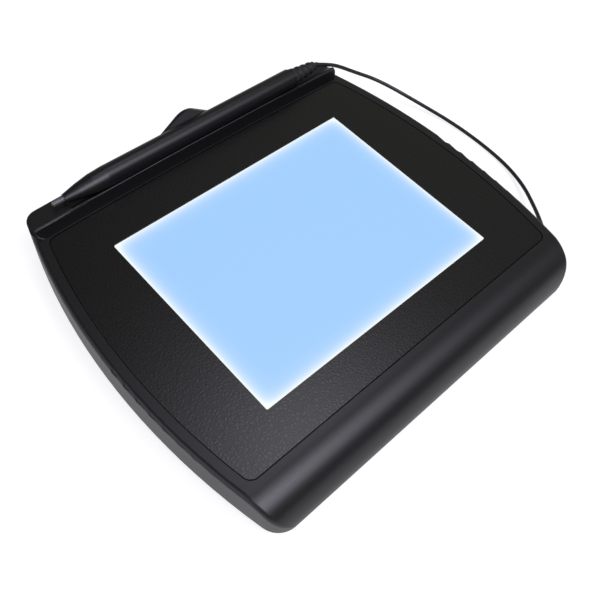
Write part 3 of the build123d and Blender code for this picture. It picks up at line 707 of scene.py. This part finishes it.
class SIGPAD_OT_electronics(PadOperator, bpy.types.Operator):
    """Dress the boards, their parts and the flat cables"""

    bl_idname = "sigpad.electronics"
    bl_label = "Electronics"

    def execute(self, context):
        dress("sensor_board", "board_green")
        dress("sensor_shield", "shield_foil")
        dress("main_board", "board_green")
        dress("board_chips", "chip_black")
        dress("board_connectors", "socket_white")
        dress("lcd_flex", "flex_amber")
        dress("sensor_flex", "flex_amber")
        dress("pen_board", "board_green")
        dress("pen_switch", "chip_black")
        dress("pen_coil", "ferrite_grey")
        return {"FINISHED"}


# By node: head radius, head height, shank radius and thread pitch in mm, and whether the head is on top
SCREW_KINDS = {
    "case_screws": (2.75, 1.9, 1.5, 1.1, False),
    "board_screws": (2.1, 1.0, 1.2, 0.9, True),
    "lcd_screws": (1.9, 1.1, 1.0, 0.8, False),
}


def cross(bm, reach, half, height):
    """Outline of a cross in one plane, as a loop of vertices."""
    quarter = [(reach, -half), (reach, half), (half, half)]
    loop = []
    for turn in range(4):
        spin = Matrix.Rotation(math.pi / 2 * turn, 2)
        loop += [bm.verts.new((*(spin @ Vector(spot)), height)) for spot in quarter]
    return loop


def screw_pattern(head_radius, head_height, shank_radius, pitch, length):
    """Pan-head screw, head down at the origin: a crossed recess, a rounded head and a helical thread."""
    around = 24
    per_turn = 4
    thread_core = 0.72
    run_in = 2
    run_out = 3
    edge = 0.35 * head_height
    recess_depth = 0.55 * head_height
    mouth_reach = 0.6 * head_radius
    mouth_half = 0.14 * head_radius
    foot_reach = 0.42 * head_radius
    foot_half = 0.09 * head_radius
    bm = bmesh.new()
    profile = rounded(head_radius, edge, 6)
    profile += [(head_radius, head_height), (shank_radius, head_height)]
    lathe(bm, profile, around)
    rim = [e for e in bm.edges if e.is_boundary and max(v.co.z for v in e.verts) < WELD]
    mouth = cross(bm, mouth_reach, mouth_half, 0.0)
    foot = cross(bm, foot_reach, foot_half, recess_depth)
    for a, b, c, d in zip(mouth, mouth[1:] + mouth[:1], foot[1:] + foot[:1], foot):
        bm.faces.new((a, b, c, d))
    bm.faces.new(foot)
    rim += [e for e in bm.edges if e.is_boundary and all(v in mouth for v in e.verts)]
    bmesh.ops.triangle_fill(bm, edges=rim, use_beauty=True)
    rows = int((length - head_height) / pitch * per_turn)
    rings = []
    for row in range(rows + 1):
        height = head_height + (length - head_height) * row / rows
        fade = min(1.0, row / run_in, (rows - row) / run_out)
        ring = []
        for i in range(around):
            turn = i / around
            phase = (row / per_turn - turn) % 1.0
            crest = 1.0 - abs(2 * phase - 1)
            share = thread_core + (1 - thread_core) * crest * fade if row else 1.0
            ring.append(bm.verts.new(polar(shank_radius * share, 2 * math.pi * turn, height)))
        rings.append(ring)
    skin(bm, rings, around)
    bm.faces.new(rings[-1])
    return mesh_object("screw_pattern", bm)


class SIGPAD_OT_screws(PadOperator, bpy.types.Operator):
    """Make the case, board and display screws with recess and thread"""

    bl_idname = "sigpad.screws"
    bl_label = "Screws"

    def execute(self, context):
        for node, (*millimetres, head_on_top) in SCREW_KINDS.items():
            boxes = solid_boxes(node)
            low, high = boxes[0]
            pattern = screw_pattern(*[size * MM for size in millimetres], high.z - low.z)
            if head_on_top:
                pattern.data.transform(Matrix.Rotation(math.pi, 4, "X"))
            places = [((a.x + b.x) / 2, (a.y + b.y) / 2, b.z if head_on_top else a.z) for a, b in boxes]
            piece = copies_at(node + "_made", places, pattern, "screw_zinc", most_turn=1.2)
            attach(piece, "pad")
            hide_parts(node)
        return {"FINISHED"}


class SIGPAD_OT_feet(PadOperator, bpy.types.Operator):
    """Make the four rubber feet with grip rings"""

    bl_idname = "sigpad.feet"
    bl_label = "Feet"

    def execute(self, context):
        boxes = solid_boxes("rubber_feet")
        low, high = boxes[0]
        radius = (high.x - low.x) / 2
        height = high.z - low.z
        edge = 0.5 * MM
        ring_depth = 0.25 * MM
        ring_pitch = 1.5 * MM
        margin = 0.6 * ring_pitch
        groove = ((0, 0), (0.15, ring_depth), (0.35, ring_depth), (0.5, 0))
        profile = [(0, 0)]
        spot = margin
        while spot + margin < radius - edge:
            profile += [(spot + share * ring_pitch, depth) for share, depth in groove]
            spot += ring_pitch
        profile += rounded(radius, edge, 5)
        profile += [(radius, height), (0, height)]
        bm = bmesh.new()
        lathe(bm, profile, 48)
        pattern = mesh_object("foot_pattern", bm)
        places = [((a.x + b.x) / 2, (a.y + b.y) / 2, a.z) for a, b in boxes]
        piece = copies_at("rubber_feet_made", places, pattern, "soft_black")
        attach(piece, "pad")
        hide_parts("rubber_feet")
        return {"FINISHED"}


def boot_tree():
    """Node group of a tapered boot along X whose ribs are rounded rings."""
    tree, entry = open_group(
        "Ribbed boot",
        Start="Vector",
        Length="Float",
        Start_radius="Float",
        End_radius="Float",
        Rib_height="Float",
        Ribs="Int",
    )
    rows_per_rib = 16.0
    first_phase = -0.55 * math.pi
    dip_foot = -0.7
    dip_edge = 0.5
    rows = calc(tree, "MULTIPLY", entry["Ribs"], rows_per_rib)
    tube = add(
        tree,
        "GeometryNodeMeshCylinder",
        {"Vertices": 48, "Side Segments": rows, "Radius": 1.0, "Depth": 1.0},
        fill_type="TRIANGLE_FAN",
    )
    spot = add(tree, "GeometryNodeInputPosition")
    parts = add(tree, "ShaderNodeSeparateXYZ", {0: spot.outputs[0]})
    along = calc(tree, "ADD", parts.outputs["Z"], 0.5)
    taper = add(
        tree,
        "ShaderNodeMapRange",
        {"Value": along, "To Min": entry["Start radius"], "To Max": entry["End radius"]},
    )
    turns = calc(tree, "MULTIPLY", along, entry["Ribs"])
    phase = calc(tree, "MULTIPLY_ADD", turns, 2 * math.pi, first_phase)
    wave = calc(tree, "COSINE", phase)
    dip = {"Value": wave, "From Min": dip_foot, "From Max": dip_edge, "To Min": 1.0, "To Max": 0.0}
    valley = add(tree, "ShaderNodeMapRange", dip, interpolation_type="SMOOTHSTEP")
    depth = calc(tree, "MULTIPLY", valley.outputs[0], entry["Rib height"])
    radius = calc(tree, "SUBTRACT", taper.outputs[0], depth)
    far = calc(tree, "MULTIPLY", along, entry["Length"])
    side = calc(tree, "MULTIPLY", parts.outputs["X"], radius)
    rise = calc(tree, "MULTIPLY", parts.outputs["Y"], radius)
    spread = {"X": far, "Y": side, "Z": rise}
    place = add(tree, "ShaderNodeCombineXYZ", spread)
    put = calc_vector(tree, "ADD", place.outputs[0], entry["Start"])
    shaped = add(tree, "GeometryNodeSetPosition", {"Geometry": tube.outputs["Mesh"], "Position": put})
    return close_group(tree, shaped.outputs[0], entry["Finish"])


def spring_tree():
    """Node group of a coil spring of round wire along X."""
    tree, entry = open_group(
        "Coil spring",
        Start="Vector",
        Length="Float",
        Coil_radius="Float",
        Wire_radius="Float",
        Turns="Float",
    )
    line = add(
        tree,
        "GeometryNodeCurveSpiral",
        {
            "Resolution": 32,
            "Rotations": entry["Turns"],
            "Start Radius": entry["Coil radius"],
            "End Radius": entry["Coil radius"],
            "Height": entry["Length"],
        },
    )
    laid = add(
        tree,
        "GeometryNodeTransform",
        {"Geometry": line.outputs[0], "Translation": entry["Start"], "Rotation": (0.0, math.pi / 2, 0.0)},
    )
    ring = add(tree, "GeometryNodeCurvePrimitiveCircle", {"Resolution": 10, "Radius": entry["Wire radius"]})
    wire = add(
        tree,
        "GeometryNodeCurveToMesh",
        {"Curve": laid.outputs[0], "Profile Curve": ring.outputs[0], "Fill Caps": True},
    )
    return close_group(tree, wire.outputs[0], entry["Finish"])


class SIGPAD_OT_pen(PadOperator, bpy.types.Operator):
    """Dress the pen's hard parts and make its ribbed boot and the nib's spring"""

    bl_idname = "sigpad.pen"
    bl_label = "Pen"

    def execute(self, context):
        dress("pen_barrel", "pen_black")
        dress("pen_cone", "pen_cone")
        dress("pen_collar", "pen_black")
        dress("pen_nib", "nib_grey")
        self.boot(context.scene.pad_sizes)
        self.spring()
        return {"FINISHED"}

    def boot(self, sizes):
        """Ribbed boot between the collar and the tether."""
        low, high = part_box("pen_boot")
        collar_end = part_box("pen_collar")[1].x
        middle = (low + high) / 2
        inputs = {
            "Start": (collar_end, middle.y, middle.z),
            "Length": high.x - collar_end,
            "Start radius": (high.z - low.z) / 2,
            "End radius": 2.4 * MM,
            "Rib height": 0.45 * MM,
            "Ribs": sizes.rib_count,
            "Finish": FINISHES["soft_black"],
        }
        boot = grown("pen_boot_made", boot_tree(), inputs)
        shade(boot, degrees=50)
        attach(boot, "pen")
        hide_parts("pen_boot")

    def spring(self):
        """Coil spring behind the nib's flange."""
        low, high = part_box("nib_spring")
        wire = 0.2 * MM
        middle = (low + high) / 2
        inputs = {
            "Start": (low.x + wire, middle.y, middle.z),
            "Length": high.x - low.x - 2 * wire,
            "Coil radius": (high.z - low.z) / 2 - wire,
            "Wire radius": wire,
            "Turns": 3.0,
            "Finish": FINISHES["spring_steel"],
        }
        spring = grown("nib_spring_made", spring_tree(), inputs)
        shade(spring, degrees=50)
        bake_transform(spring)
        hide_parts("nib_spring")


# The tether's route in mm, from the boot's end round the pad's right side to its gland
TETHER_ROUTE = [
    (70.007, 71.025, 25.9),
    (71.907, 71.025, 25.9),
    (76.2, 70.1, 24.5),
    (83.5, 68.5, 21.7),
    (93.0, 64.4, 15.9),
    (104.2, 56.9, 10.4),
    (115.6, 39.3, 3.2),
    (121.6, 14.5, 0.95),
    (120.9, -11.9, 0.95),
    (115.0, -29.7, 2.3),
    (104.9, -43.1, 5.0),
    (98.0, -50.2, 7.5),
    (93.4, -54.4, 9.1),
    (90.043, -55.178, 9.4),
    (87.679, -54.761, 9.4),
]


class SIGPAD_OT_tether(PadOperator, bpy.types.Operator):
    """Lay the tether from the pen to the gland in the right wall"""

    bl_idname = "sigpad.tether"
    bl_label = "Tether"

    def execute(self, context):
        radius = context.scene.pad_sizes.tether_diameter / 2
        curve = bpy.data.curves.new("tether_route", "CURVE")
        curve.dimensions = "3D"
        curve.resolution_u = 10
        spline = curve.splines.new("NURBS")
        spline.points.add(len(TETHER_ROUTE) - 1)
        for point, place in zip(spline.points, TETHER_ROUTE):
            point.co = (*(Vector(place) * MM), 1.0)
        spline.order_u = 3
        spline.use_endpoint_u = True
        route = placed("tether_route", curve)
        path = [v.co.copy() for v in plain_mesh(route).vertices]
        curve.bevel_depth = radius
        curve.bevel_resolution = 6
        curve.use_fill_caps = True
        tube = plain_mesh(route)
        bpy.data.objects.remove(route)
        piece = placed("tether", tube)
        tube.materials.clear()
        tube.materials.append(FINISHES["cord_black"])
        shade(piece, degrees=60)
        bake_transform(piece)
        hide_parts("tether_cord")
        return {"FINISHED"}


# The camera's place in mm, its directions, and its lens and sensor in mm
CAMERA_PLACE = (-132.854, -112.558, 238.272)
CAMERA_RIGHT = (0.7332, -0.6742, 0.0890)
CAMERA_FORWARD = (0.4280, 0.3558, -0.8308)
CAMERA_LENS = 42.185
CAMERA_SENSOR = 36.0

# Where each soft light is brightest, and how narrow it is
WINDOW = ((0.1, -0.56, 0.822), 26.0)
CEILING = ((0.3, 0.19, 0.93), 150.0)
WALL = ((-1.0, 0.1, 0.2), 5.0)
LAMP_COLOUR = "#F2EFFF"

# The room's growth to the right, to the rear and down, its least share and its colour
ROOM_SLOPE = (1.9, 1.0, -0.25)
ROOM_LEAST = 0.25
ROOM_COLOUR = "#FCFFF0"

# Half the table top's width, its own light, and the share of it that mirrors see at two places along Y, a
# painted shade that dims its reflection towards the rear
FLOOR_REACH = 4.0
FLOOR_GLOW = 0.8
FLOOR_NEAR = (-110 * MM, 0.84)
FLOOR_FAR = (-50 * MM, 0.54)


class SIGPAD_OT_studio(PadOperator, bpy.types.Operator):
    """Set the camera at the photograph's angle, the pale floor and the soft light"""

    bl_idname = "sigpad.studio"
    bl_label = "Studio"

    def execute(self, context):
        scene = context.scene
        studio = scene.pad_studio
        scene.view_settings.view_transform = "Standard"
        self.camera(scene)
        self.floor(studio)
        self.light(scene, studio)
        return {"FINISHED"}

    def camera(self, scene):
        """Camera from the place and directions worked out from the photograph."""
        data = bpy.data.cameras.new("Camera")
        data.lens = CAMERA_LENS
        data.sensor_width = CAMERA_SENSOR
        data.clip_start = 0.01
        data.clip_end = 20.0
        camera = placed("Camera", data)
        forward = Vector(CAMERA_FORWARD).normalized()
        right = Vector(CAMERA_RIGHT)
        right = (right - right.dot(forward) * forward).normalized()
        up = right.cross(forward)
        turn = Matrix((right, up, -forward)).transposed()
        camera.matrix_world = Matrix.Translation(Vector(CAMERA_PLACE) * MM) @ turn.to_4x4()
        scene.camera = camera

    def floor(self, studio):
        """Large pale table top, white to camera rays and, under a painted shade that dims it towards the
        rear, to mirror and glass rays; it still takes a soft shadow.
        """
        bm = bmesh.new()
        bmesh.ops.create_grid(bm, x_segments=2, y_segments=2, size=FLOOR_REACH)
        floor = mesh_object("Floor", bm)
        material, tree = new_material("Table top white laminate")
        ray = add(tree, "ShaderNodeLightPath").outputs
        mirrored = calc(tree, "MAXIMUM", ray["Is Glossy Ray"], ray["Is Transmission Ray"])
        place = add(tree, "ShaderNodeTexCoord").outputs["Object"]
        depth = add(tree, "ShaderNodeSeparateXYZ", {0: place})
        # Painted shade: the table top as mirrors and glass see it dims from the front to the rear
        near, near_share = FLOOR_NEAR
        far, far_share = FLOOR_FAR
        run = {"Value": depth.outputs["Y"], "From Min": near, "From Max": far}
        reflection_shade_share = add(tree, "ShaderNodeMapRange", {**run, "To Min": near_share, "To Max": far_share})
        mirrored_painted_shade = calc(tree, "MULTIPLY", mirrored, reflection_shade_share.outputs[0])
        shown = calc(tree, "MAXIMUM", ray["Is Camera Ray"], mirrored_painted_shade)
        cloud = add(tree, "ShaderNodeTexNoise", {"Vector": place, "Scale": 6.0, "Detail": 3.0})
        pale = [studio.floor_share * c for c in studio.floor]
        tone = mixed(tree, cloud.outputs["Fac"], rgba(pale), rgba([0.98 * c for c in pale]))
        top = add(tree, "ShaderNodeBsdfDiffuse", {"Color": tone})
        glow = add(tree, "ShaderNodeEmission", {"Strength": FLOOR_GLOW})
        dark = add(tree, "ShaderNodeEmission", {"Strength": 0.0})
        gated = add(tree, "ShaderNodeMixShader", {0: shown, 1: dark.outputs[0], 2: glow.outputs[0]})
        both = add(tree, "ShaderNodeAddShader", {0: top.outputs[0], 1: gated.outputs[0]})
        add(tree, "ShaderNodeOutputMaterial", {"Surface": both.outputs[0]})
        floor.data.materials.append(material)

    def light(self, scene, studio):
        """Dim room with a soft window high in front, a ceiling lamp and a pale wall on the left."""
        world = bpy.data.worlds.new("Studio")
        scene.world = world
        world.use_nodes = True
        tree = world.node_tree
        tree.nodes.clear()
        window = self.soft_light(tree, *WINDOW, studio.window)
        ceiling = self.soft_light(tree, *CEILING, studio.ceiling)
        wall = self.soft_light(tree, *WALL, studio.wall)
        above = calc(tree, "ADD", window, ceiling)
        lamps = calc(tree, "ADD", above, wall)
        around = add(tree, "ShaderNodeTexCoord").outputs["Generated"]
        slope = tuple(studio.room * Vector(ROOM_SLOPE))
        side = calc_vector(tree, "DOT_PRODUCT", around, slope)
        least = ROOM_LEAST * studio.room
        dim = calc(tree, "MAXIMUM", side, least)
        violet = rgba(linear(LAMP_COLOUR))
        yellow = rgba(linear(ROOM_COLOUR))
        cool = add(tree, "ShaderNodeBackground", {"Color": violet, "Strength": lamps})
        room = add(tree, "ShaderNodeBackground", {"Color": yellow, "Strength": dim})
        both = add(tree, "ShaderNodeAddShader", {0: cool.outputs[0], 1: room.outputs[0]})
        white = add(tree, "ShaderNodeBackground", {"Color": rgba(linear("#FFFFFF"))})
        ray = add(tree, "ShaderNodeLightPath").outputs
        shares = {0: ray["Is Camera Ray"], 1: both.outputs[0], 2: white.outputs[0]}
        shown = add(tree, "ShaderNodeMixShader", shares)
        add(tree, "ShaderNodeOutputWorld", {"Surface": shown.outputs[0]})

    def soft_light(self, tree, direction, narrowness, strength):
        """Strength of a round light without an edge, brightest in one direction."""
        around = add(tree, "ShaderNodeTexCoord").outputs["Generated"]
        aim = tuple(Vector(direction).normalized())
        toward = calc_vector(tree, "DOT_PRODUCT", around, aim)
        fall = calc(tree, "MULTIPLY_ADD", toward, narrowness, -narrowness)
        share = calc(tree, "EXPONENT", fall)
        return calc(tree, "MULTIPLY", share, strength)


class SIGPAD_PT_panel(bpy.types.Panel):
    """Lists the pad's operators and settings"""

    bl_idname = "SIGPAD_PT_panel"
    bl_label = "Signature pad"
    bl_space_type = "VIEW_3D"
    bl_region_type = "UI"
    bl_category = "Signature pad"

    def draw(self, context):
        layout = self.layout
        for group in (context.scene.pad_finish, context.scene.pad_sizes, context.scene.pad_studio):
            box = layout.box()
            for key in group.__annotations__:
                box.prop(group, key)
        for step in STEPS:
            layout.operator(step.bl_idname)


STEPS = (
    SIGPAD_OT_finishes,
    SIGPAD_OT_studio,
    SIGPAD_OT_tether,
    SIGPAD_OT_housing,
    SIGPAD_OT_display,
    SIGPAD_OT_electronics,
    SIGPAD_OT_screws,
    SIGPAD_OT_feet,
    SIGPAD_OT_pen,
)

CLASSES = (PadFinish, PadSizes, StudioSettings, *STEPS, SIGPAD_PT_panel)


def register():
    """Register the classes and hang the settings on the scene."""
    for cls in CLASSES:
        bpy.utils.register_class(cls)
    bpy.types.Scene.pad_finish = PointerProperty(type=PadFinish)
    bpy.types.Scene.pad_sizes = PointerProperty(type=PadSizes)
    bpy.types.Scene.pad_studio = PointerProperty(type=StudioSettings)


def unregister():
    """Take the settings and classes away again."""
    del bpy.types.Scene.pad_studio
    del bpy.types.Scene.pad_sizes
    del bpy.types.Scene.pad_finish
    for cls in reversed(CLASSES):
        bpy.utils.unregister_class(cls)


def main():
    """Make everything in order."""
    register()
    for step in STEPS:
        area, label = step.bl_idname.split(".")
        getattr(getattr(bpy.ops, area), label)()


if __name__ == "__main__":
    main()
